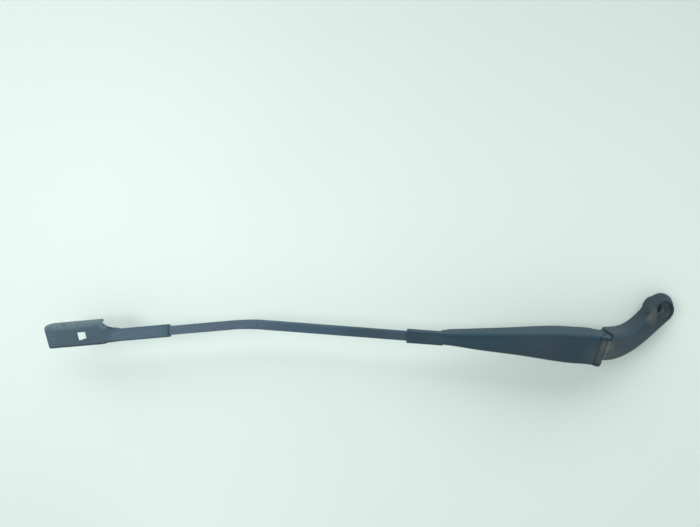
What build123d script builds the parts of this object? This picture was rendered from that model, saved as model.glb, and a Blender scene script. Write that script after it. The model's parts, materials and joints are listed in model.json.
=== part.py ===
from build123d import *
from math import cos, radians, sin, tan
import os

# A windscreen wiper arm. The origin is the middle of the nut seat in the head.
# X runs along the arm towards the blade, Z is square to the channel's web, all in millimetres.

# Where the arm stands to the spindle
hinge_x = 60.0
arm_y = 39.0
web_z = 30.0
spindle_lean_back = 12.0
spindle_lean_side = 9.0
hinge_tilt = 7.5

# Folded sheet
sheet = 1.8
fold_radius = 3.4
channel_fold = 4.4
crimp_gap = 0.05
seam_gap = 0.8

# Rod
rod_width = 9.3
rod_thick = 5.0
rod_edge = 0.8
rod_root_x = 110.0
bend_x = 354.8
bend_angle = 9.8
bend_radius = 180.0
rod_twist = 22.0
rod_end_s = 134.0

# Channel, with x measured from its datum beside the hinge pin, and at the ears from the pin
pin_x = 1.3
pin_depth = 9.0
pin_d = 5.0
ear_radius = 7.1
ear_lower_radius = 5.2
ear_heel_x = 5.2
ear_heel_drop = 3.6
ear_heel_depth = 23.4
ear_lower_heel_x = 1.8
web_end_x = 6.8
sleeve_in_x = 160.0
sleeve_out_x = 194.0
flange_start_x = 149.8
flange_start_depth = 14.4
flange_deep_x = 36.0
flange_deep = 24.9
side_x = (127.0, 79.0, 45.0, 25.0)
side_lower = (8.8, 11.8, 14.8, 15.6)
side_upper = (8.4, 12.2, 15.0, 15.4)
ear_lower_y = 16.8
ear_upper_y = 14.6

# Hinge
bush_wall = 1.1
bush_flange = 0.8
bush_flange_d = 11.0
side_play = 0.15
pin_fit = 0.04
pin_head = 0.8
pin_head_d = 9.4
pin_set_back = 0.6
stop_gap = 0.3

# Spring and link, with x and z measured from the hinge pin
spring_pin_x = 7.0
spring_pin_z = -5.0
spring_pin_d = 3.2
link_thick = 3.0
link_width = 3.2
link_eye_d = 6.4
link_length = 26.0
link_fit = 0.05
slot_play = 4.4
hook_z = 0.3
hook_tab = 4.4
hook_hole_d = 2.8
spring_d = 10.6
wire_d = 2.0
spring_pitch = 3.4
loop_radius = 3.2
hook_play = 1.0

# Connector, with s measured along its rod from the bend and t across it
sleeve_start_s = 84.0
sleeve_end_s = 136.0
neck_s = 152.0
neck_step = 1.2
neck_taper = 9.0
tip_s = 214.2
connector_upper_t = -17.0
connector_lower_t = 8.2
connector_depth = 11.2
flange_tip_radius = 6.0
window_s = 171.3
window_length = 9.6
window_t = -8.0
window_width = 9.0
flange_start_s = 157.0
lip_start_s = 161.0
lip_end_s = 182.0
lip_width = 3.0

# Head
boss_d = 23.6
boss_above = 6.3
boss_below = 11.0
rim_d = 20.8
skirt_d = 32.6
skirt_below = 1.7
recess_d = 17.2
bore_d = 8.4
bore_length = 3.0
taper_d = 11.0
head_edge = 6.0
boss_edge = 2.5
head_back_edge = 1.5
head_upper_y = 16.0
head_lower_y = 11.6
shoulder_x = -3.0
shoulder_slope = 2.6
shoulder_depth = 3.2
head_wall = 3.6
shoulder_gap = 0.6

# Planes and shared places
pin_z = web_z - pin_depth
hinge = Vector(hinge_x + pin_x, arm_y, pin_z)
hinge_along = Vector(cos(radians(hinge_tilt)), -sin(radians(hinge_tilt)), 0)
hinge_across = Vector(sin(radians(hinge_tilt)), cos(radians(hinge_tilt)), 0)
arm_side_plane = Plane(origin=(hinge_x, arm_y, pin_z), x_dir=(1, 0, 0), z_dir=(0, -1, 0))
web_plane = Plane(origin=(hinge_x, arm_y, web_z))
spindle_axis = Vector(-tan(radians(spindle_lean_back)), -tan(radians(spindle_lean_side)), 1).normalized()
spindle_plane = Plane(origin=(0, 0, 0), x_dir=(1, 0, 0), z_dir=spindle_axis)
spindle_side_plane = Plane(origin=(0, 0, 0), x_dir=spindle_plane.x_dir, z_dir=-spindle_plane.y_dir)
rod_z = -sheet - rod_thick / 2
sleeve_width = rod_width + 2 * sheet + 2 * crimp_gap
sleeve_depth = rod_thick + 2 * sheet + 2 * crimp_gap
tangent_length = bend_radius * tan(radians(bend_angle / 2))


def side_plane(y):
    """Plane square to the hinge pin at a place y along it: local x runs to the blade, local y is Z."""
    return Plane(origin=hinge + hinge_across * y, x_dir=hinge_along, z_dir=-hinge_across)


def hinge_place(x, y):
    """A place on the web, x square to the hinge pin and y along it."""
    place = hinge_along * x + hinge_across * y
    return (pin_x + place.X, place.Y)


def rod_plane(x, y, turn, roll):
    """Plane square to the rod at a place of its middle line, turned in plan and rolled about the rod."""
    along = Vector(cos(radians(turn)), sin(radians(turn)), 0)
    across = Vector(-sin(radians(turn)), cos(radians(turn)), 0)
    width = across * cos(radians(roll)) + Vector(0, 0, sin(radians(roll)))
    return Plane(origin=Vector(hinge_x + x, arm_y + y, web_z + rod_z), x_dir=width, z_dir=along)


def tip_plane(s, roll=rod_twist):
    """Plane square to the rod beyond the bend, s along it from the bend's corner."""
    turn = radians(bend_angle)
    return rod_plane(bend_x + s * cos(turn), s * sin(turn), bend_angle, roll)


def head_plane(x, y, depth, heading, share, tall):
    """Plane square to the head's sweep; share turns its upright from the web's normal to the spindle."""
    upright = (Vector(0, 0, 1) * (1 - share) + spindle_axis * share).normalized()
    along = Vector(-cos(radians(heading)), -sin(radians(heading)), 0)
    along = (along - upright * along.dot(upright)).normalized()
    middle = Vector(hinge_x + x, arm_y + y, web_z - depth) - upright * (tall / 2)
    return Plane(origin=middle, x_dir=upright.cross(along), z_dir=along)


tip_direction = Vector(cos(radians(bend_angle)), sin(radians(bend_angle)), 0)
tip_web_plane = Plane(
    origin=Vector(hinge_x + bend_x, arm_y, web_z), x_dir=tip_direction, z_dir=(0, 0, 1)
)
tip_side_plane = Plane(
    origin=Vector(hinge_x + bend_x, arm_y, web_z),
    x_dir=tip_direction,
    z_dir=Vector(tip_direction.Y, -tip_direction.X, 0),
)

os.makedirs("parts", exist_ok=True)

# Rod: a flat bar, straight, then bent edgewise and twisted, then straight again
bend_start_x = bend_x - tangent_length
hook = arm_side_plane.origin + Vector(rod_root_x, 0, hook_z)
with BuildPart() as rod:
    with BuildSketch(rod_plane(rod_root_x, 0, 0, 0)):
        RectangleRounded(rod_width, rod_thick, rod_edge)
    extrude(amount=bend_start_x - rod_root_x)
    for share in (0, 0.25, 0.5, 0.75, 1):
        turn = bend_angle * share
        roll = rod_twist * share * share * (3 - 2 * share)
        x = bend_start_x + bend_radius * sin(radians(turn))
        y = bend_radius * (1 - cos(radians(turn)))
        with BuildSketch(rod_plane(x, y, turn, roll)):
            RectangleRounded(rod_width, rod_thick, rod_edge)
    loft()
    with BuildSketch(tip_plane(tangent_length)):
        RectangleRounded(rod_width, rod_thick, rod_edge)
    extrude(amount=rod_end_s - tangent_length)
    with BuildSketch(arm_side_plane):
        with BuildLine():
            Polyline(
                (rod_root_x - hook_tab / 2, pin_depth - sheet - rod_edge),
                (rod_root_x - hook_tab / 2 + rod_edge, pin_depth - sheet),
                (rod_root_x + 6, pin_depth - sheet),
                (rod_root_x + 6, pin_depth - sheet - rod_thick),
                (rod_root_x + hook_tab / 2, pin_depth - sheet - rod_thick),
                (rod_root_x + hook_tab / 2, hook_z - hook_hole_d),
                (rod_root_x - hook_tab / 2, hook_z - hook_hole_d),
                close=True,
            )
        make_face()
    extrude(amount=rod_width / 2 - rod_edge, both=True)
    with BuildSketch(Plane(origin=hook, x_dir=(0, 1, 0), z_dir=(1, 0, 0))):
        Circle(hook_hole_d / 2)
    extrude(amount=hook_tab, both=True, mode=Mode.SUBTRACT)

rod.part.label = "arm_rod"
export_step(rod.part, "parts/arm_rod.step")

# Channel: one folded sheet with a crimped sleeve at the rod and two ears at the hinge
with BuildPart() as channel:
    lower = [(sleeve_in_x, sleeve_width / 2)]
    lower += list(zip(side_x, side_lower))
    lower += [hinge_place(web_end_x, ear_lower_y)]
    upper = [(sleeve_in_x, -sleeve_width / 2)]
    upper += [(x, -half) for x, half in zip(side_x, side_upper)]
    upper += [hinge_place(web_end_x, -ear_upper_y)]
    inner_lower = [(x, y - sheet) for x, y in lower[:-1]] + [hinge_place(web_end_x, ear_lower_y - sheet)]
    inner_upper = [(x, y + sheet) for x, y in upper[:-1]] + [hinge_place(web_end_x, sheet - ear_upper_y)]
    ends = [(-1, 0), (-hinge_along.X, -hinge_along.Y)]
    with BuildSketch(web_plane):
        with BuildLine():
            Spline(lower, tangents=ends)
            Spline(upper, tangents=ends)
            Line(lower[0], upper[0])
            Line(lower[-1], upper[-1])
        make_face()
    extrude(amount=-flange_deep)
    long_edge = 0.4 * (sleeve_in_x - web_end_x)
    web_edges = channel.faces().sort_by(Axis.Z)[-1].edges()
    fillet(web_edges.filter_by(lambda e: e.length > long_edge), channel_fold)
    with BuildSketch(web_plane.offset(-sheet)):
        with BuildLine():
            Spline(inner_lower, tangents=ends)
            Spline(inner_upper, tangents=ends)
            Line(inner_lower[0], inner_upper[0])
            Line(inner_lower[-1], inner_upper[-1])
        make_face()
    extrude(amount=-flange_deep, mode=Mode.SUBTRACT)
    inner_level = channel.edges().filter_by_position(Axis.Z, web_z - sheet - 0.01, web_z - sheet + 0.01)
    fillet(inner_level.filter_by(lambda e: e.length > long_edge), channel_fold - sheet)
    with BuildSketch(arm_side_plane):
        with BuildLine():
            Polyline(
                (sleeve_in_x + 1, pin_depth - sleeve_depth),
                (flange_start_x, pin_depth - flange_start_depth),
                (flange_deep_x, pin_depth - flange_deep),
                (0, pin_depth - ear_heel_depth),
                (0, -4 * ear_radius),
                (sleeve_in_x + 1, -4 * ear_radius),
                close=True,
            )
        make_face()
    extrude(amount=2 * ear_lower_y, both=True, mode=Mode.SUBTRACT)
    with BuildSketch(rod_plane(sleeve_in_x - 2, 0, 0, 0)):
        RectangleRounded(sleeve_width, sleeve_depth, fold_radius - sheet)
    extrude(amount=sleeve_out_x - sleeve_in_x + 2)
    with BuildSketch(rod_plane(rod_root_x, 0, 0, 0)):
        RectangleRounded(rod_width + 2 * crimp_gap, rod_thick + 2 * crimp_gap, rod_edge)
    extrude(amount=sleeve_out_x - rod_root_x + 1, mode=Mode.SUBTRACT)
    with BuildSketch(rod_plane(sleeve_in_x - 3, 0, 0, 0)):
        with Locations((0, -sleeve_depth / 2)):
            Rectangle(seam_gap, 3 * sheet)
    extrude(amount=sleeve_out_x - sleeve_in_x + 4, mode=Mode.SUBTRACT)
    ears = (
        (ear_lower_y, ear_lower_radius, ear_lower_heel_x, 0),
        (sheet - ear_upper_y, ear_radius, ear_heel_x, ear_heel_drop),
    )
    for y, radius, heel_x, drop in ears:
        with BuildSketch(side_plane(y)):
            Circle(radius)
            with BuildLine():
                Polyline(
                    (0, radius),
                    (web_end_x + 3, pin_depth - channel_fold),
                    (web_end_x + 3, pin_depth - ear_heel_depth),
                    (0, pin_depth - ear_heel_depth),
                    (1 - heel_x, pin_depth - ear_heel_depth - drop),
                    (-heel_x, pin_depth - ear_heel_depth - drop + 1),
                    (-0.9 * radius, -0.42 * radius),
                    close=True,
                )
            make_face()
            Circle(pin_d / 2, mode=Mode.SUBTRACT)
        extrude(amount=sheet)

channel.part.label = "arm_channel"
export_step(channel.part, "parts/arm_channel.step")

# Connector: one folded sheet, a channel for the blade's clip with a neck and a sleeve crimped on the rod
connector_width = connector_lower_t - connector_upper_t
connector_mid = (connector_lower_t + connector_upper_t) / 2
neck_mid_s = (neck_s + sleeve_end_s) / 2
neck_upper_t = connector_upper_t + 0.74 * (-sleeve_width / 2 - connector_upper_t)
neck_lower_t = sleeve_width / 2 + 0.1 * (connector_lower_t - sleeve_width / 2)
neck_mid_t = (neck_upper_t + neck_lower_t) / 2
neck_width = neck_lower_t - neck_upper_t
neck_notch_t = 0.4 * connector_upper_t
with BuildPart() as connector:
    with BuildSketch(tip_web_plane):
        with Locations(((neck_s + tip_s) / 2, connector_mid)):
            Rectangle(tip_s - neck_s, connector_width)
    extrude(amount=-connector_depth)
    long_edge = 0.6 * (tip_s - neck_s)
    web_edges = connector.faces().sort_by(Axis.Z)[-1].edges()
    fillet(web_edges.filter_by(lambda e: e.length > long_edge), fold_radius)
    with BuildSketch(tip_web_plane.offset(-sheet)):
        with Locations(((neck_s + tip_s) / 2, connector_mid)):
            Rectangle(tip_s - neck_s, connector_width - 2 * sheet)
    extrude(amount=-connector_depth, mode=Mode.SUBTRACT)
    inner_level = connector.edges().filter_by_position(Axis.Z, web_z - sheet - 0.01, web_z - sheet + 0.01)
    fillet(inner_level.filter_by(lambda e: e.length > long_edge), fold_radius - sheet)
    with BuildSketch(tip_side_plane):
        with BuildLine():
            Polyline(
                (neck_s - 1, -sleeve_depth),
                (neck_s, -sleeve_depth),
                (flange_start_s, -connector_depth),
                (flange_start_s, -2 * connector_depth),
                (neck_s - 1, -2 * connector_depth),
                close=True,
            )
        make_face()
        with BuildLine():
            round_start = (tip_s - flange_tip_radius, -connector_depth)
            round_end = (tip_s, flange_tip_radius - connector_depth)
            RadiusArc(round_start, round_end, -flange_tip_radius)
            Polyline(round_end, (tip_s + 1, -2 * connector_depth), round_start)
        make_face()
    extrude(amount=2 * connector_width, both=True, mode=Mode.SUBTRACT)
    with BuildSketch(tip_web_plane):
        with BuildLine():
            Polyline(
                (neck_s + neck_taper, connector_lower_t),
                (neck_s, connector_lower_t - neck_step),
                (neck_s - 1, connector_lower_t + 1),
                (neck_s + neck_taper, connector_lower_t + 1),
                close=True,
            )
        make_face()
    extrude(amount=-2 * connector_depth, mode=Mode.SUBTRACT)
    with BuildSketch(tip_plane(neck_s + 0.5, 0)):
        with Locations((connector_mid - neck_step / 2, 0)):
            RectangleRounded(connector_width - neck_step, sleeve_depth, fold_radius)
    with BuildSketch(tip_plane(neck_mid_s, rod_twist / 2)):
        with Locations((neck_mid_t, 0)):
            RectangleRounded(neck_width, sleeve_depth, fold_radius - 0.5)
    with BuildSketch(tip_plane(sleeve_end_s)):
        RectangleRounded(sleeve_width, sleeve_depth, fold_radius - sheet)
    loft()
    with BuildSketch(tip_plane(sleeve_start_s)):
        RectangleRounded(sleeve_width, sleeve_depth, fold_radius - sheet)
    extrude(amount=sleeve_end_s - sleeve_start_s)
    open_depth = 2 * connector_depth
    with BuildSketch(tip_plane(neck_s + 0.5, 0)):
        with Locations((connector_mid - neck_step / 2, rod_thick / 2 - open_depth / 2)):
            Rectangle(connector_width - neck_step - 2 * sheet, open_depth)
    with BuildSketch(tip_plane(neck_mid_s, rod_twist / 2)):
        with Locations((neck_mid_t, rod_thick / 2 - open_depth / 4)):
            Rectangle(neck_width - 2 * sheet, open_depth / 2)
    with BuildSketch(tip_plane(sleeve_end_s)):
        Rectangle(rod_width, rod_thick)
    loft(mode=Mode.SUBTRACT)
    with BuildSketch(tip_plane(sleeve_start_s - 1)):
        RectangleRounded(rod_width + 2 * crimp_gap, rod_thick + 2 * crimp_gap, rod_edge)
    extrude(amount=sleeve_end_s - sleeve_start_s + 1, mode=Mode.SUBTRACT)
    with BuildSketch(tip_plane(sleeve_start_s - 1)):
        with Locations((0, -sleeve_depth / 2)):
            Rectangle(seam_gap, 3 * sheet)
    extrude(amount=sleeve_end_s - sleeve_start_s + 2, mode=Mode.SUBTRACT)
    with BuildSketch(tip_side_plane.offset(-neck_notch_t)):
        with BuildLine():
            Polyline(
                (sleeve_end_s - 3, -sleeve_depth - 0.5),
                (neck_mid_s + 2, -sheet - 1.2),
                (neck_s + 2, -sheet - 0.6),
                (neck_s + 2, -open_depth),
                (sleeve_end_s - 3, -open_depth),
                close=True,
            )
        make_face()
    extrude(amount=connector_width, mode=Mode.SUBTRACT)
    with BuildSketch(tip_web_plane):
        with Locations((window_s + window_length / 2, window_t + window_width / 2)):
            Rectangle(window_length, window_width)
    extrude(amount=-2 * sheet, mode=Mode.SUBTRACT)
    with BuildSketch(tip_web_plane.offset(sheet - connector_depth)):
        for edge, turn in ((connector_lower_t, -1), (connector_upper_t, 1)):
            with Locations(((lip_start_s + lip_end_s) / 2, edge + turn * (sheet + lip_width) / 2)):
                Rectangle(lip_end_s - lip_start_s, sheet + lip_width)
    extrude(amount=-sheet)

connector.part.label = "blade_connector"
export_step(connector.part, "parts/blade_connector.step")

# Head: a die-cast body swept from the hinge down to the spindle boss
head_width = head_lower_y + head_upper_y
head_mid_y = (head_lower_y - head_upper_y) / 2
boss_tall = boss_above + boss_below
boss_top = spindle_axis * boss_above
boss_width = 0.93 * boss_d
boss_x = boss_top.X - 0.038 * boss_d - hinge_x
boss_y = boss_top.Y + 0.038 * boss_d - arm_y
head_stations = [
    (*hinge_place(shoulder_x, head_mid_y), shoulder_depth, -hinge_tilt, 0.0, head_width, 25.8, head_edge),
    (-0.2 * hinge_x, -0.08 * arm_y, 4.6, 4, 0.12, 0.98 * head_width, 26.0, head_edge),
    (-0.415 * hinge_x, -0.18 * arm_y, 8.5, 20, 0.3, 0.84 * head_width, 24.0, head_edge),
    (-0.7 * hinge_x, -0.45 * arm_y, 15.5, 40, 0.65, 0.69 * head_width, 21.0, 0.8 * head_edge),
    (boss_x, boss_y, web_z - boss_top.Z, 48, 1.0, boss_width, boss_tall, boss_edge),
]
hollow_stations = head_stations[1:4]
knuckle_radius = pin_depth - sheet - stop_gap - 1.6
cheek_lower_y = ear_lower_y - sheet - bush_flange - side_play
cheek_upper_y = ear_upper_y - sheet - bush_flange - side_play
bush_d = pin_d + 2 * pin_fit + 2 * bush_wall
nose_z = pin_depth - sheet - stop_gap
slot_width = link_width + slot_play
slot_open_x = spring_pin_x - link_thick / 2 + 0.2
nose_inset = 0.5 * (channel_fold - sheet)
shoulder_top = pin_depth - shoulder_depth
with BuildPart() as head:
    for x, y, depth, heading, share, width, tall, edge in head_stations:
        with BuildSketch(head_plane(x, y, depth, heading, share, tall)) as station:
            Rectangle(width, tall)
            fillet(station.vertices().group_by(Axis.Y)[-1], edge)
            fillet(station.vertices().group_by(Axis.Y)[0], head_back_edge)
    loft()
    for x, y, depth, heading, share, width, tall, edge in hollow_stations:
        with BuildSketch(head_plane(x, y, depth, heading, share, tall)):
            with Locations((0, -head_wall - 1)):
                RectangleRounded(width - 2 * head_wall, tall, edge / 2)
    loft(mode=Mode.SUBTRACT)
    with BuildSketch(side_plane(0)):
        with BuildLine():
            Polyline(
                (shoulder_x - shoulder_slope, shoulder_top + 0.2),
                (shoulder_x + 1, shoulder_top + 0.2),
                (shoulder_x + 1, shoulder_top - shoulder_slope - 0.8),
                close=True,
            )
        make_face()
    extrude(amount=2 * head_upper_y, both=True, mode=Mode.SUBTRACT)
    with BuildSketch(spindle_side_plane):
        with BuildLine():
            Polyline(
                (skirt_d / 2, -skirt_below),
                (boss_d / 2, -skirt_below),
                (boss_d / 2, -boss_below),
                (0, -boss_below),
                (0, boss_above),
                (rim_d / 2, boss_above),
                close=True,
            )
        make_face()
    revolve(axis=Axis((0, 0, 0), spindle_axis))
    with BuildSketch(side_plane(cheek_lower_y)):
        Circle(ear_lower_radius + shoulder_gap)
    extrude(amount=-ear_lower_y, mode=Mode.SUBTRACT)
    with BuildSketch(side_plane(-cheek_upper_y)):
        Circle(ear_radius + shoulder_gap)
        with BuildLine():
            Polyline(
                (-ear_heel_x - shoulder_gap, -4 * ear_radius),
                (-0.9 * ear_radius - shoulder_gap, 0),
                (0, 0),
                (0, -4 * ear_radius),
                close=True,
            )
        make_face()
    extrude(amount=ear_lower_y, mode=Mode.SUBTRACT)
    with BuildSketch(side_plane(cheek_lower_y)):
        Circle(knuckle_radius)
        with Locations((spring_pin_x, spring_pin_z)):
            Circle(spring_pin_d / 2 + 2.4)
        with BuildLine():
            Polyline(
                (0, knuckle_radius - 0.1),
                (web_end_x + 6, knuckle_radius - 0.1),
                (web_end_x + 6, nose_z - 5),
                (spring_pin_x + 4, spring_pin_z),
                (spring_pin_x, spring_pin_z - 4),
                (0, spring_pin_z - 4),
                close=True,
            )
        make_face()
    extrude(amount=cheek_lower_y + cheek_upper_y)
    with BuildSketch(side_plane(cheek_lower_y - nose_inset)):
        with BuildLine():
            Polyline(
                (web_end_x + 0.5, knuckle_radius - 1),
                (web_end_x + 1.2, nose_z),
                (web_end_x + 6, nose_z),
                (web_end_x + 6, knuckle_radius - 1),
                close=True,
            )
        make_face()
    extrude(amount=cheek_lower_y + cheek_upper_y - 2 * nose_inset)
    with BuildSketch(side_plane(head_lower_y - 2)):
        with BuildLine():
            Polyline(
                (shoulder_x - 5, knuckle_radius - 3.2),
                (0, knuckle_radius - 2.4),
                (spring_pin_x - 2, spring_pin_z - 2),
                (0, spring_pin_z - 5),
                (shoulder_x - 5, spring_pin_z - 9),
                close=True,
            )
        make_face()
    extrude(amount=head_lower_y - 2 + cheek_upper_y)
    with BuildSketch(side_plane(0)):
        with BuildLine():
            Polyline(
                (-4.5, -25),
                (-4.5, pin_d / 2 + 0.5),
                (slot_open_x, pin_d / 2 + 0.5),
                (slot_open_x, 2 * ear_radius),
                (web_end_x + 8, 2 * ear_radius),
                (web_end_x + 8, -25),
                close=True,
            )
        make_face()
    extrude(amount=slot_width / 2, both=True, mode=Mode.SUBTRACT)
    with BuildSketch(side_plane(0)):
        Circle(bush_d / 2)
        with Locations((spring_pin_x, spring_pin_z)):
            Circle(spring_pin_d / 2)
    extrude(amount=2 * ear_lower_y, both=True, mode=Mode.SUBTRACT)
    with BuildSketch(spindle_plane):
        Circle(recess_d / 2)
    extrude(amount=4 * boss_above, mode=Mode.SUBTRACT)
    with BuildSketch(spindle_plane):
        Circle(bore_d / 2)
    extrude(amount=-boss_tall, mode=Mode.SUBTRACT)
    with BuildSketch(spindle_plane.offset(-bore_length)):
        Circle(bore_d / 2)
    with BuildSketch(spindle_plane.offset(-boss_below)):
        Circle(taper_d / 2)
    loft(mode=Mode.SUBTRACT)

head.part.label = "mounting_head"
export_step(head.part, "parts/mounting_head.step")

# Hinge pin with a formed head below, its other end set a little back in the upper ear
with BuildPart() as hinge_pin:
    with BuildSketch(side_plane(ear_lower_y)):
        Circle(pin_d / 2)
    extrude(amount=ear_lower_y + ear_upper_y - pin_set_back)
    with BuildSketch(side_plane(ear_lower_y + pin_head)):
        Circle(pin_head_d / 2)
    extrude(amount=pin_head)

hinge_pin.part.label = "hinge_pin"
export_step(hinge_pin.part, "parts/hinge_pin.step")

# Flanged bushes, one in each cheek of the head
with BuildPart() as bush_lower:
    with BuildSketch(side_plane(slot_width / 2 + 0.2)):
        Circle(bush_d / 2)
        Circle(pin_d / 2 + pin_fit, mode=Mode.SUBTRACT)
    extrude(amount=-(cheek_lower_y - slot_width / 2 - 0.2))
    with BuildSketch(side_plane(cheek_lower_y)):
        Circle(bush_flange_d / 2)
        Circle(pin_d / 2 + pin_fit, mode=Mode.SUBTRACT)
    extrude(amount=-bush_flange)

bush_lower.part.label = "hinge_bush_lower"
export_step(bush_lower.part, "parts/hinge_bush_lower.step")

with BuildPart() as bush_upper:
    with BuildSketch(side_plane(-slot_width / 2 - 0.2)):
        Circle(bush_d / 2)
        Circle(pin_d / 2 + pin_fit, mode=Mode.SUBTRACT)
    extrude(amount=cheek_upper_y - slot_width / 2 - 0.2)
    with BuildSketch(side_plane(-cheek_upper_y)):
        Circle(bush_flange_d / 2)
        Circle(pin_d / 2 + pin_fit, mode=Mode.SUBTRACT)
    extrude(amount=bush_flange)

bush_upper.part.label = "hinge_bush_upper"
export_step(bush_upper.part, "parts/hinge_bush_upper.step")

# Spring pin across the cheeks
with BuildPart() as spring_pin:
    with BuildSketch(side_plane(cheek_lower_y)):
        with Locations((spring_pin_x, spring_pin_z)):
            Circle(spring_pin_d / 2)
    extrude(amount=cheek_lower_y + cheek_upper_y)

spring_pin.part.label = "spring_pin"
export_step(spring_pin.part, "parts/spring_pin.step")

# The line the spring pulls along, from the spring pin to the rod's hook
pull_start = hinge + hinge_along * spring_pin_x + Vector(0, 0, spring_pin_z)
pull_along = (hook - pull_start).normalized()
pull_length = (hook - pull_start).length
pull_side = pull_along.cross(Vector(0, 0, 1)).normalized()
pull_plane = Plane(origin=pull_start, x_dir=pull_along, z_dir=pull_side)

# Link: a flat bar with an eye at each end
with BuildPart() as link:
    with BuildSketch(pull_plane):
        with Locations((link_length / 2, 0)):
            Rectangle(link_length, link_thick)
        with Locations((0, 0), (link_length, 0)):
            Circle(link_eye_d / 2)
        with Locations((link_length, 0)):
            Circle(wire_d / 2 + hook_play, mode=Mode.SUBTRACT)
    extrude(amount=link_width / 2, both=True)
    with BuildSketch(side_plane(0)):
        with Locations((spring_pin_x, spring_pin_z)):
            Circle(spring_pin_d / 2 + link_fit)
    extrude(amount=2 * link_width, both=True, mode=Mode.SUBTRACT)

link.part.label = "spring_link"
export_step(link.part, "parts/spring_link.step")

# Tension spring: close turns, a loop through the link's eye and a hook through the rod's tab
loop_end = link_length + 2 * loop_radius
coil_start = loop_end - wire_d / 2
hook_start = pull_length - hook_tab / 2 - 3 * wire_d
turns = int((hook_start - coil_start) / spring_pitch)
coil_end = coil_start + turns * spring_pitch
coil_radius = (spring_d - wire_d) / 2
pull_axis = Axis(pull_start, pull_along)
loop_plane = Plane(
    origin=pull_start + pull_along * (link_length + loop_radius), x_dir=pull_along, z_dir=pull_plane.y_dir
)
with BuildPart() as spring:
    with BuildSketch(pull_plane):
        with BuildLine():
            for turn in range(turns):
                first = coil_start + turn * spring_pitch
                Polyline(
                    (first, coil_radius),
                    (first + spring_pitch / 2, spring_d / 2),
                    (first + spring_pitch, coil_radius),
                )
            Polyline(
                (coil_end, coil_radius),
                (coil_end, coil_radius - wire_d / 2),
                (coil_start, coil_radius - wire_d / 2),
                (coil_start, coil_radius),
            )
        make_face()
    revolve(axis=pull_axis)
    with BuildSketch(loop_plane):
        Circle(loop_radius + wire_d / 2)
        Circle(loop_radius - wire_d / 2, mode=Mode.SUBTRACT)
    extrude(amount=0.4 * wire_d, both=True)
    with BuildSketch(pull_plane):
        with Locations((loop_end + wire_d / 4, 0), (coil_end - wire_d / 2, 0)):
            Circle(0.45 * wire_d)
    extrude(amount=coil_radius, both=True)
    hook_reach = pull_length + hook_tab / 2 + 0.8 * wire_d
    with BuildLine(pull_plane):
        Polyline((coil_end - 1.2 * wire_d, 0), (hook_reach, 0), (hook_reach + 0.6 * wire_d, -2 * wire_d))
    with BuildSketch(Plane(origin=pull_start + pull_along * (coil_end - 1.2 * wire_d), z_dir=pull_along)):
        Circle(wire_d / 2)
    sweep(transition=Transition.RIGHT)

spring.part.label = "tension_spring"
export_step(spring.part, "parts/tension_spring.step")
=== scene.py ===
import json
import math
from typing import NamedTuple

import bpy
from mathutils import Matrix, Vector


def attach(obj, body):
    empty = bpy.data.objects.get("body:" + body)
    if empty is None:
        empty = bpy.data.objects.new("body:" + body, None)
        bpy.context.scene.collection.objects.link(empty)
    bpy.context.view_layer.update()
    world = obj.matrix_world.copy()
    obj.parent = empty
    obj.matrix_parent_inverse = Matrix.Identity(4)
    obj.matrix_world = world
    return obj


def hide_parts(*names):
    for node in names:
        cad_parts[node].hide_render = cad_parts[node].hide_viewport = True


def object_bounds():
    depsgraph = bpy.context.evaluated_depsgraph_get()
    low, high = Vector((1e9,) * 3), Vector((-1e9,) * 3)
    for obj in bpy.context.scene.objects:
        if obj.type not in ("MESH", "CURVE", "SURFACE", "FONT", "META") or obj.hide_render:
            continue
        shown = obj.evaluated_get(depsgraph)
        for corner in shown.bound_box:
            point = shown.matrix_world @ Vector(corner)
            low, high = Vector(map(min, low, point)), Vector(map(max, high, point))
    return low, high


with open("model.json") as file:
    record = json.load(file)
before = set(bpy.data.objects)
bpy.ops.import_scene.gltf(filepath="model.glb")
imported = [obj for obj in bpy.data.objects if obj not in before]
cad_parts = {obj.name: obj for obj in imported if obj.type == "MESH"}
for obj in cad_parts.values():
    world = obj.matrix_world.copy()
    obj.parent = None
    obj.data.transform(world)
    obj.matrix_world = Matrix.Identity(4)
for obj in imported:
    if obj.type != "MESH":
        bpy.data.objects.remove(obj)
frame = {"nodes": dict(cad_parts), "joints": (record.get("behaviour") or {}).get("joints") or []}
solid_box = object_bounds()


# Places on the arm, in metres

joints = {joint["name"]: joint for joint in frame["joints"]}
hinge_middle = Vector(joints["arm_lift"]["pos_m"])
pin_axis = Vector(joints["arm_lift"]["axis"])
pull_start = Vector(joints["link_turn"]["pos_m"])
spring_end_x = joints["arm_lift"]["deforming_nodes"][0]["fixed_end_x_m"]
pull_end = Vector((spring_end_x, 0.039, 0.0213))
arm_middle = Vector((0.30, 0.04, 0.0))


def show(name, data):
    """A new object in the scene."""
    made = bpy.data.objects.new(name, data)
    bpy.context.scene.collection.objects.link(made)
    return made


# Camera

photo_width = 700.0
focal_pixels = 526.0
camera_place = Vector((0.2935938, -0.1659399, 0.5200015))
camera_right = Vector((-0.996612, -0.056984, -0.059306))
camera_down = Vector((-0.070464, 0.963475, 0.258363))
camera_back = camera_right.cross(-camera_down)

camera_data = bpy.data.cameras.new("photo_camera")
camera_data.sensor_fit = "HORIZONTAL"
camera_data.sensor_width = 36.0
camera_data.lens = camera_data.sensor_width * focal_pixels / photo_width
camera_data.clip_start = 0.01
camera = show("photo_camera", camera_data)
camera_turn = Matrix((camera_right, -camera_down, camera_back)).transposed().to_4x4()
camera.matrix_world = Matrix.Translation(camera_place) @ camera_turn
bpy.context.scene.camera = camera


# Nodes


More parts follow.
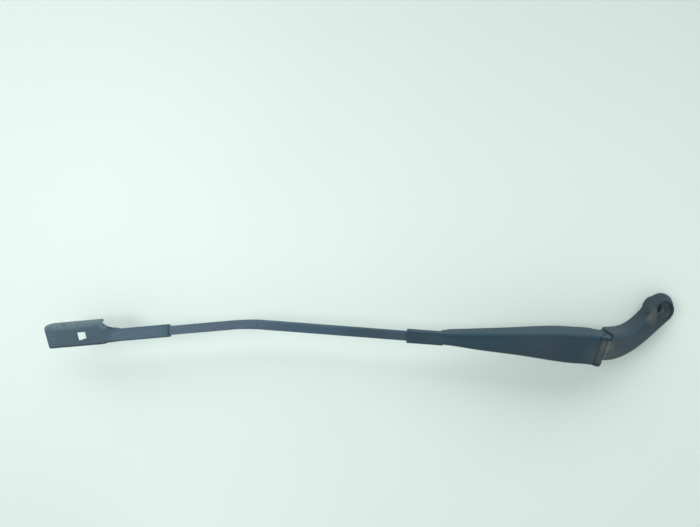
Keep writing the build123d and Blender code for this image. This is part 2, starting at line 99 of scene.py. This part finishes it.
class Wire:
    """One socket of a node tree. Sums written on it add Math nodes."""

    def __init__(self, nodes, socket):
        self.nodes = nodes
        self.socket = socket

    def math(self, operation, first, second=0.0):
        return self.nodes.add("ShaderNodeMath", {"operation": operation}, {0: first, 1: second})

    def __neg__(self):
        return self.math("MULTIPLY", self, -1.0)

    def __add__(self, other):
        return self.math("ADD", self, other)

    def __radd__(self, other):
        return self.math("ADD", other, self)

    def __sub__(self, other):
        return self.math("SUBTRACT", self, other)

    def __rsub__(self, other):
        return self.math("SUBTRACT", other, self)

    def __mul__(self, other):
        return self.math("MULTIPLY", self, other)

    def __rmul__(self, other):
        return self.math("MULTIPLY", other, self)


class Nodes:
    """The one way that nodes are added to a finish, to the spring's winding and to the studio's glow."""

    def __init__(self, tree):
        self.tree = tree
        self.tree.nodes.clear()

    @staticmethod
    def socket(sockets, key):
        if isinstance(key, int):
            return sockets[key]
        return next(s for s in sockets if s.enabled and key in (s.identifier, s.name))

    def add(self, kind, settings=None, values=None, out=0):
        """A node of this kind. A list of wires goes into one socket that takes many."""
        made = self.tree.nodes.new(kind)
        for name, value in (settings or {}).items():
            setattr(made, name, value)
        for key, value in (values or {}).items():
            entry = self.socket(made.inputs, key)
            if isinstance(value, (Wire, list)):
                for wire in value if isinstance(value, list) else [value]:
                    self.tree.links.new(wire.socket, entry)
            else:
                entry.default_value = value
        return Wire(self, self.socket(made.outputs, out)) if made.outputs else None


class Finish(Nodes):
    """A material made of nodes, laid out in its piece's own coordinates."""

    def __init__(self, name):
        self.material = bpy.data.materials.new(name)
        self.material.use_nodes = True
        super().__init__(self.material.node_tree)
        self.place = self.add("ShaderNodeTexCoord", out="Object")
        self.facing = self.add("ShaderNodeTexCoord", out="Normal")

    def part(self, vector, axis):
        return self.add("ShaderNodeSeparateXYZ", {}, {0: vector}, axis)

    def vector(self, operation, first, second, out):
        return self.add("ShaderNodeVectorMath", {"operation": operation}, {0: first, 1: second}, out)

    def stretched(self, x, y, z):
        return self.add("ShaderNodeMapping", {}, {"Vector": self.place, "Scale": (x, y, z)})

    def noise(self, scale, detail=3.0, roughness=0.55, place=None):
        values = {"Vector": place or self.place, "Scale": scale, "Detail": detail, "Roughness": roughness}
        return self.add("ShaderNodeTexNoise", {}, values, "Fac")

    def rise(self, value, low, high):
        """0 below low, 1 above high, smooth between them."""
        settings = {"interpolation_type": "SMOOTHSTEP", "clamp": True}
        return self.add("ShaderNodeMapRange", settings, {"Value": value, "From Min": low, "From Max": high})

    def mix(self, share, first, second):
        settings = {"data_type": "RGBA", "clamp_factor": True}
        values = {"Factor_Float": share, "A_Color": first, "B_Color": second}
        return self.add("ShaderNodeMix", settings, values, "Result_Color")

    def nearness(self, centre, core, reach):
        """1 within core of a place of the piece, falling to 0 at reach from it."""
        return 1.0 - self.rise(self.vector("DISTANCE", self.place, centre, "Value"), core, reach)

    def edge(self, radius):
        """1 where the surface turns sharply within radius."""
        rounded = self.add("ShaderNodeBevel", {"samples": 6}, {"Radius": radius})
        flat = self.add("ShaderNodeNewGeometry", out="Normal")
        return self.rise(1.0 - self.vector("DOT_PRODUCT", rounded, flat, "Value"), low=0.02, high=0.22)

    def bump(self, height, distance):
        return self.add("ShaderNodeBump", {}, {"Height": height, "Distance": distance, "Strength": 1.0})

    def close(self, values):
        shader = self.add("ShaderNodeBsdfPrincipled", {}, values, "BSDF")
        self.add("ShaderNodeOutputMaterial", {}, {"Surface": shader})
        return self.material


def tint(red, green, blue):
    return (red, green, blue, 1.0)


# Paints


class Patch(NamedTuple):
    """A soft spot of dust, painted light or painted shade on a painted piece, full within core of its
    centre and gone at reach.
    """

    centre: tuple
    core: float
    reach: float
    strength: float
    shade: tuple


rubbed_shade = tint(0.12, 0.14, 0.155)
rubbed_strength = 0.1
speck_shade = tint(0.26, 0.29, 0.29)
speck_scale = 620.0
speck_strength = 0.3
worn_shade = tint(0.13, 0.15, 0.16)
worn_strength = 0.3
worn_radius = 0.0005


def black_paint(
    name,
    shades,
    sheen,
    dust_shade,
    dust_level,
    peel_scale,
    peel_depth,
    fold_painted_shade=0.0,
    mouth_painted_light=0.0,
    patches=(),
):
    """Satin black paint with an orange peel and dust; painted shade on the fold, which loses its dust, and
    painted light on a sleeve's mouth, as a lighter film.
    """
    paint = Finish(name)
    cloud = paint.noise(scale=14.0, detail=2.0)
    grain = paint.noise(scale=420.0, detail=4.0, roughness=0.6)
    peel = paint.noise(scale=peel_scale, detail=2.0, roughness=0.5)
    colour = paint.mix(paint.rise(cloud, low=0.25, high=0.75), *shades)

    along, across, up = (paint.part(paint.facing, axis) for axis in "XYZ")
    settled = 0.4 + 0.6 * paint.rise(up, low=-0.1, high=0.9)
    # painted shade: the fold from the upper flange to the web loses its dust film and looks darker
    fold = (1.0 - paint.rise(across, low=-0.3, high=-0.1)) * paint.rise(up, low=0.45, high=0.75)
    # painted light: faces turned towards the head, as a sleeve's mouth is, get a lighter film
    mouth = (1.0 - paint.rise(along, low=-0.8, high=-0.5)) * mouth_painted_light
    film = (0.55 * cloud + 0.45 * grain) * settled * (1.0 - fold * fold_painted_shade) * dust_level + mouth
    colour = paint.mix(film, colour, dust_shade)

    for patch in patches:
        near = paint.nearness(patch.centre, patch.core, patch.reach)
        spread = near * paint.rise(grain, low=0.1, high=0.8) * patch.strength
        colour = paint.mix(spread, colour, patch.shade)
        film = film + spread * 0.5

    lengthwise = paint.stretched(45.0, 1300.0, 1300.0)
    fine_line = paint.noise(scale=1.0, detail=2.0, roughness=0.5, place=lengthwise)
    rubbed = paint.rise(fine_line, low=0.68, high=0.76) * paint.rise(cloud, low=0.5, high=0.62)
    colour = paint.mix(rubbed * rubbed_strength, colour, rubbed_shade)

    cells = {"Vector": paint.place, "Scale": speck_scale}
    speck_away = paint.add("ShaderNodeTexVoronoi", {}, cells, "Distance")
    speck_pick = paint.add("ShaderNodeTexVoronoi", {}, cells, "Color")
    chosen = paint.rise(paint.part(speck_pick, "X"), low=0.965, high=0.98)
    specks = (1.0 - paint.rise(speck_away, low=0.08, high=0.2)) * chosen * settled
    colour = paint.mix(specks * speck_strength, colour, speck_shade)

    chipped = paint.rise(paint.noise(scale=210.0, detail=4.0), low=0.4, high=0.66)
    worn = paint.edge(worn_radius) * chipped
    colour = paint.mix(worn * worn_strength, colour, worn_shade)

    return paint.close(
        {
            "Base Color": colour,
            "Roughness": 0.43 + 0.06 * cloud + 0.5 * film - 0.06 * worn,
            "Specular IOR Level": 0.5,
            "Specular Tint": sheen,
            "Normal": paint.bump(peel + 0.2 * grain, distance=peel_depth),
        }
    )


blue_black = (tint(0.0085, 0.0255, 0.043), tint(0.0115, 0.030, 0.048))
blue_sheen = tint(0.68, 0.93, 1.0)
slate_black = (tint(0.0125, 0.028, 0.042), tint(0.0155, 0.033, 0.048))
slate_sheen = tint(0.78, 0.96, 1.0)

channel_dust = tint(0.11, 0.172, 0.21)
hinge_painted_shade = tint(0.022, 0.034, 0.036)
olive_dust = tint(0.105, 0.115, 0.095)
web_dust = tint(0.06, 0.05, 0.045)
ear_painted_light = tint(0.20, 0.27, 0.30)
channel_paint = black_paint(
    "channel_paint",
    blue_black,
    blue_sheen,
    channel_dust,
    dust_level=0.22,
    peel_scale=1500.0,
    peel_depth=0.00006,
    # painted shade on the channel's fold
    fold_painted_shade=0.9,
    patches=[
        # painted shade on the channel near the hinge
        Patch((0.085, 0.054, 0.036), core=0.012, reach=0.048, strength=0.5, shade=hinge_painted_shade),
        Patch((0.068, 0.042, 0.030), core=0.0, reach=0.018, strength=0.35, shade=olive_dust),
        Patch((0.125, 0.050, 0.034), core=0.010, reach=0.040, strength=0.25, shade=web_dust),
        # painted light on the ear's rear rim, lifting the shade of the head's shoulder
        Patch((0.0548, 0.0251, 0.020), core=0.003, reach=0.008, strength=0.25, shade=ear_painted_light),
    ],
)

# The connector's first patch paints light on the upper flange; it has a far centre, so that its wide curve
# runs along that flange.
rod_dust = tint(0.13, 0.19, 0.24)
flange_painted_light = tint(0.24, 0.30, 0.32)
sleeve_painted_light = tint(0.15, 0.20, 0.34)
connector_paint = black_paint(
    "connector_paint",
    blue_black,
    blue_sheen,
    rod_dust,
    dust_level=0.24,
    peel_scale=1500.0,
    peel_depth=0.00006,
    # painted light on the connector sleeve's mouth
    mouth_painted_light=0.62,
    patches=[
        Patch((0.6575, -0.291, 0.0), core=0.3508, reach=0.3580, strength=0.45, shade=flange_painted_light),
        # painted light on the sleeve, lighter towards the blade end
        Patch((0.5320, 0.0560, 0.0293), core=0.020, reach=0.036, strength=0.17, shade=sleeve_painted_light),
        # painted highlight on the rim of the connector's notch
        Patch((0.5652, 0.0525, 0.0295), core=0.0015, reach=0.005, strength=0.5, shade=flange_painted_light),
        # painted light on the connector's neck
        Patch((0.6290, 0.0680, 0.0300), core=0.005, reach=0.022, strength=0.12, shade=sleeve_painted_light),
    ],
)

bend_painted_light = tint(0.195, 0.185, 0.295)
bar_painted_light = tint(0.12, 0.24, 0.40)
bar_paint = black_paint(
    "bar_paint",
    blue_black,
    blue_sheen,
    rod_dust,
    dust_level=0.42,
    peel_scale=1700.0,
    peel_depth=0.00005,
    patches=[
        # painted light on the rod at its bend
        Patch((0.450, 0.045, 0.028), core=0.045, reach=0.095, strength=0.2, shade=bend_painted_light),
        # painted light, bluish, along the rod's middle
        Patch((0.370, 0.036, 0.028), core=0.030, reach=0.070, strength=0.15, shade=bar_painted_light),
    ],
)

casting_dust = tint(0.15, 0.185, 0.195)
warm_dust_and_highlight = tint(0.118, 0.126, 0.11)
streak_painted_highlight = tint(0.22, 0.22, 0.19)
boss_painted_shade = tint(0.012, 0.021, 0.028)
recess_dust_and_light = tint(0.14, 0.195, 0.205)
seat_painted_light = tint(0.20, 0.34, 0.44)
bare_cast_and_light = tint(0.30, 0.38, 0.42)
casting_paint = black_paint(
    "casting_paint",
    slate_black,
    slate_sheen,
    casting_dust,
    dust_level=0.24,
    peel_scale=1150.0,
    peel_depth=0.00009,
    patches=[
        # warm dust with a painted highlight along the head's shoulder by the hinge
        Patch((0.055, 0.043, 0.026), core=0.0, reach=0.024, strength=0.5, shade=warm_dust_and_highlight),
        # painted highlight on the head's shoulder edge
        Patch((0.0575, 0.0335, 0.0257), core=0.003, reach=0.009, strength=0.3, shade=streak_painted_highlight),
        # painted shade on the boss
        Patch((0.004, -0.006, 0.003), core=0.012, reach=0.026, strength=0.8, shade=boss_painted_shade),
        # painted shade on the neck's flank
        Patch((0.022, 0.007, 0.008), core=0.006, reach=0.022, strength=0.6, shade=boss_painted_shade),
        # warm dust with a painted highlight on the rim beside the nut recess, on the arm's side
        Patch((0.0085, 0.001, 0.0085), core=0.001, reach=0.007, strength=0.5, shade=warm_dust_and_highlight),
        Patch((0.0115, 0.008, 0.0105), core=0.001, reach=0.008, strength=0.8, shade=warm_dust_and_highlight),
        # dust with painted light in the nut recess, where little light reaches
        Patch((0.0, 0.001, -0.002), core=0.009, reach=0.0112, strength=0.62, shade=recess_dust_and_light),
        # painted light on the recess floor under its upper wall
        Patch((-0.0044, -0.0063, -0.0019), core=0.003, reach=0.006, strength=0.35, shade=seat_painted_light),
        # bare cast metal with painted light in the spindle bore, where no light reaches
        Patch((0.0012, 0.0009, -0.0058), core=0.0066, reach=0.0078, strength=0.9, shade=bare_cast_and_light),
    ],
)


# Steel, wire and plastic

pin_shades = (tint(0.045, 0.05, 0.056), tint(0.085, 0.09, 0.096))
spring_pin_shades = (tint(0.10, 0.10, 0.105), tint(0.2, 0.2, 0.205))
steel_bright = tint(0.34, 0.35, 0.36)
turning_lines = 9000.0
wire_shades = (tint(0.12, 0.122, 0.13), tint(0.24, 0.24, 0.245))
wire_dirt = tint(0.05, 0.043, 0.035)
dirt_strength = 0.7
nylon_shades = (tint(0.030, 0.032, 0.033), tint(0.012, 0.012, 0.012))


def turned_steel(name, shades, centre):
    """Blackened steel of the pins: rings left by turning, rubbed bright at the edges."""
    steel = Finish(name)
    offset = steel.vector("SUBTRACT", steel.place, centre, "Vector")
    outward = steel.vector("CROSS_PRODUCT", offset, pin_axis, "Vector")
    radius = steel.add("ShaderNodeVectorMath", {"operation": "LENGTH"}, {0: outward}, "Value")
    turned = radius * turning_lines
    rings = turned.math("SINE", turned)
    stain = steel.noise(scale=160.0, detail=4.0, roughness=0.6)
    worn = steel.edge(worn_radius) * steel.rise(stain, low=0.35, high=0.6)
    colour = steel.mix(steel.rise(stain, low=0.35, high=0.7), *shades)
    colour = steel.mix(worn, colour, steel_bright)
    return steel.close(
        {
            "Base Color": colour,
            "Metallic": 0.75,
            "Roughness": 0.52 - 0.14 * worn + 0.1 * stain,
            "Normal": steel.bump(rings * 0.3 + stain, distance=0.00004),
        }
    )


def oiled_wire(name):
    """Drawn spring wire, dark with oil, with dirt held in the film."""
    wire = Finish(name)
    lengthwise = wire.stretched(160.0, 2200.0, 2200.0)
    drawn = wire.noise(scale=1.0, detail=2.0, roughness=0.5, place=lengthwise)
    oil = wire.noise(scale=190.0, detail=4.0, roughness=0.6)
    dirty = wire.rise(oil, low=0.52, high=0.75)
    colour = wire.mix(wire.rise(drawn, low=0.3, high=0.7), *wire_shades)
    colour = wire.mix(dirty * dirt_strength, colour, wire_dirt)
    return wire.close(
        {
            "Base Color": colour,
            "Metallic": 0.9 - 0.5 * dirty,
            "Roughness": 0.3 + 0.2 * oil,
            "Normal": wire.bump(drawn, distance=0.00003),
        }
    )


def moulded_plastic(name):
    """Black nylon of the bushes, darkened by grease."""
    nylon = Finish(name)
    grease = nylon.noise(scale=240.0, detail=4.0, roughness=0.6)
    return nylon.close(
        {
            "Base Color": nylon.mix(nylon.rise(grease, low=0.38, high=0.7), *nylon_shades),
            "Roughness": 0.42 + 0.25 * grease,
            "Normal": nylon.bump(nylon.noise(scale=1500.0, detail=2.0), distance=0.00003),
        }
    )


pin_steel = turned_steel("pin_steel", pin_shades, hinge_middle)
spring_pin_steel = turned_steel("spring_pin_steel", spring_pin_shades, pull_start)
spring_wire = oiled_wire("spring_wire")
bush_nylon = moulded_plastic("bush_nylon")

finish_of = {
    "arm_channel": channel_paint,
    "blade_connector": connector_paint,
    "arm_rod": bar_paint,
    "mounting_head": casting_paint,
    "hinge_pin": pin_steel,
    "spring_pin": spring_pin_steel,
    "spring_link": spring_wire,
    "tension_spring": spring_wire,
    "hinge_bush_lower": bush_nylon,
    "hinge_bush_upper": bush_nylon,
}
for node_name, finish in finish_of.items():
    for material_slot in frame["nodes"][node_name].material_slots:
        material_slot.link = "OBJECT"
        material_slot.material = finish


# Tension spring, wound along X and then laid on its line of pull

pull = pull_end - pull_start
pull_turn = math.atan2(pull.y, pull.x)
pull_tilt = math.atan2(pull.z, math.hypot(pull.x, pull.y))
spring_sizes = {
    "Wire diameter": 0.0020,
    "Coil radius": 0.0043,
    "Coil start": 0.0316,
    "Coil length": 0.0610,
    "Turns": 26.0,
    "Loop radius": 0.0032,
    "Loop centre": 0.0292,
    "Hook reach": 0.1057,
    "Hook drop": 0.0040,
}
turn_points = 22
loop_points = 28
bend_points = 12
lead_points = 14
wire_sides = 12


def spring_tree():
    """Wire wound in a coil, with a loop at the link's end and a hook at the rod's end."""
    tree = bpy.data.node_groups.new("wound_spring", "GeometryNodeTree")
    tree.interface.new_socket("Spring", in_out="OUTPUT", socket_type="NodeSocketGeometry")
    for name in spring_sizes:
        tree.interface.new_socket(name, in_out="INPUT", socket_type="NodeSocketFloat")
    winding = Nodes(tree)

    def point(x, y=0.0, z=0.0):
        return winding.add("ShaderNodeCombineXYZ", {}, {"X": x, "Y": y, "Z": z})

    def circle(points, radius):
        return winding.add("GeometryNodeCurvePrimitiveCircle", {}, {"Resolution": points, "Radius": radius})

    def bend(points, start, start_handle, end_handle, end):
        values = {
            "Resolution": points,
            "Start": start,
            "Start Handle": start_handle,
            "End Handle": end_handle,
            "End": end,
        }
        return winding.add("GeometryNodeCurvePrimitiveBezierSegment", {}, values)

    def moved(shape, place, turn=(0.0, 0.0, 0.0)):
        values = {"Geometry": shape, "Translation": place, "Rotation": turn}
        return winding.add("GeometryNodeTransform", {}, values)

    size = {name: winding.add("NodeGroupInput", out=name) for name in spring_sizes}
    wire_diameter = size["Wire diameter"]
    wire_radius = wire_diameter * 0.5
    low = -size["Coil radius"]
    coil_start = size["Coil start"]
    coil_end = coil_start + size["Coil length"]
    hook_reach = size["Hook reach"]

    coil_values = {
        "Resolution": turn_points,
        "Rotations": size["Turns"],
        "Start Radius": size["Coil radius"],
        "End Radius": size["Coil radius"],
        "Height": size["Coil length"],
    }
    coil = winding.add("GeometryNodeCurveSpiral", {}, coil_values)
    coil = moved(coil, point(coil_start), turn=(0.0, math.pi / 2, 0.0))

    loop = moved(circle(loop_points, size["Loop radius"]), point(size["Loop centre"]))
    loop_side = size["Loop centre"] + size["Loop radius"]
    neck = bend(
        bend_points,
        start=point(loop_side),
        start_handle=point(loop_side, wire_radius * 1.5),
        end_handle=point(coil_start, wire_radius, low),
        end=point(coil_start, 0.0, low),
    )

    shank_start = coil_end + wire_diameter * 1.6
    shank_end = hook_reach - wire_radius
    lead_out = bend(
        lead_points,
        start=point(coil_end, 0.0, low),
        start_handle=point(coil_end, wire_radius * 3.0, low),
        end_handle=point(coil_end),
        end=point(shank_start),
    )
    shank_values = {"Start": point(shank_start), "End": point(shank_end)}
    shank = winding.add("GeometryNodeCurvePrimitiveLine", {}, shank_values)
    hook_side = hook_reach + wire_radius
    hook = bend(
        bend_points,
        start=point(shank_end),
        start_handle=point(hook_side),
        end_handle=point(hook_side, 0.0, -wire_radius),
        end=point(hook_reach + wire_radius * 0.8, 0.0, -size["Hook drop"]),
    )

    runs = winding.add("GeometryNodeJoinGeometry", {}, {0: [hook, shank, lead_out, neck, loop, coil]})
    drawn_values = {"Curve": runs, "Profile Curve": circle(wire_sides, wire_radius), "Fill Caps": True}
    drawn = winding.add("GeometryNodeCurveToMesh", {}, drawn_values)
    laid = moved(drawn, tuple(pull_start), turn=(0.0, -pull_tilt, pull_turn))
    smooth = winding.add("GeometryNodeSetShadeSmooth", {}, {0: laid})
    single = winding.add("GeometryNodeRealizeInstances", {}, {0: smooth})
    finished = winding.add("GeometryNodeSetMaterial", {}, {"Geometry": single, "Material": spring_wire})
    winding.add("NodeGroupOutput", {}, {"Spring": finished})
    return tree


def wound_spring():
    piece = show("wound_spring", bpy.data.meshes.new("wound_spring"))
    winding = piece.modifiers.new("winding", "NODES")
    winding.node_group = spring_tree()
    for entry in winding.node_group.interface.items_tree:
        if entry.in_out == "INPUT":
            winding[entry.identifier] = spring_sizes[entry.name]
    depsgraph = bpy.context.evaluated_depsgraph_get()
    mesh = bpy.data.meshes.new_from_object(piece.evaluated_get(depsgraph))
    piece.modifiers.clear()
    piece.data = mesh
    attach(piece, "arm")
    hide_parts("tension_spring")


wound_spring()


# Floor, a wide disc at the arm's lowest point

floor_level = solid_box[0].z
floor_radius = 6.0
floor_sides = 180
table_shades = (tint(0.755, 0.86, 0.81), tint(0.775, 0.88, 0.83))
blade_end_painted_shade = tint(0.54, 0.63, 0.60)
blade_end_strength = 0.3
behind_painted_shade = tint(0.57, 0.655, 0.62)


def pale_table(name):
    """Nearly white, slightly mottled, with painted shade behind the arm and towards its blade end."""
    table = Finish(name)
    cloud = table.noise(scale=2.2, detail=3.0)
    blade_end = table.rise(table.part(table.place, "X"), low=0.45, high=0.80)
    in_front = table.rise(table.part(table.place, "Y"), low=-0.55, high=0.02)
    colour = table.mix(table.rise(cloud, low=0.3, high=0.7), *table_shades)
    # painted shade: the floor darker towards the blade end and behind the arm
    colour = table.mix(blade_end * blade_end_strength, colour, blade_end_painted_shade)
    colour = table.mix(in_front, behind_painted_shade, colour)
    return table.close({"Base Color": colour, "Roughness": 0.55 + 0.1 * cloud})


def floor_corner(side):
    angle = math.tau * side / floor_sides
    x = arm_middle.x + floor_radius * math.cos(angle)
    y = arm_middle.y + floor_radius * math.sin(angle)
    return (x, y, floor_level)


floor_mesh = bpy.data.meshes.new("floor")
floor_mesh.from_pydata([floor_corner(side) for side in range(floor_sides)], [], [tuple(range(floor_sides))])
floor_mesh.materials.append(pale_table("pale_table"))
floor = show("floor", floor_mesh)


# Light


def soft_light(name, place, width, height, power, colour, lights=True, reflects=True):
    """A soft panel aimed at the arm; it can be kept out of the diffuse light or out of the reflections."""
    light = bpy.data.lights.new(name, "AREA")
    light.shape = "RECTANGLE"
    light.size = width
    light.size_y = height
    light.energy = power
    light.color = colour
    lamp = show(name, light)
    lamp.location = place
    lamp.visible_diffuse = lights
    lamp.visible_glossy = reflects
    lamp.rotation_mode = "QUATERNION"
    lamp.rotation_quaternion = (arm_middle - Vector(place)).to_track_quat("-Z", "Y")


soft_light(
    "key_light",
    (0.60, -7.40, 3.30),
    width=9.6,
    height=4.5,
    power=560.0,
    colour=(1.0, 1.0, 0.98),
    reflects=False,
)
soft_light(
    "left_light",
    (1.25, -0.35, 1.35),
    width=0.7,
    height=0.7,
    power=10.0,
    colour=(0.97, 1.0, 1.0),
)
soft_light(
    "side_panel",
    (1.25, 0.42, 1.10),
    width=0.9,
    height=0.9,
    power=8.0,
    colour=(0.95, 1.0, 1.0),
    lights=False,
)

glow_colour = tint(0.93, 0.985, 1.0)
glow_at_horizon = 0.95
glow_above = 0.34
glow_fade_height = 0.95

world = bpy.data.worlds.new("studio")
world.use_nodes = True
sky = Nodes(world.node_tree)
direction = sky.add("ShaderNodeTexCoord", out="Generated")
fade = {
    "Value": sky.add("ShaderNodeSeparateXYZ", {}, {0: direction}, "Z"),
    "From Min": 0.0,
    "From Max": glow_fade_height,
    "To Min": glow_at_horizon,
    "To Max": glow_above,
}
glow_strength = sky.add("ShaderNodeMapRange", {"interpolation_type": "SMOOTHSTEP"}, fade)
glow = sky.add("ShaderNodeBackground", {}, {"Color": glow_colour, "Strength": glow_strength})
sky.add("ShaderNodeOutputWorld", {}, {"Surface": glow})
bpy.context.scene.world = world
bpy.context.scene.view_settings.view_transform = "Standard"
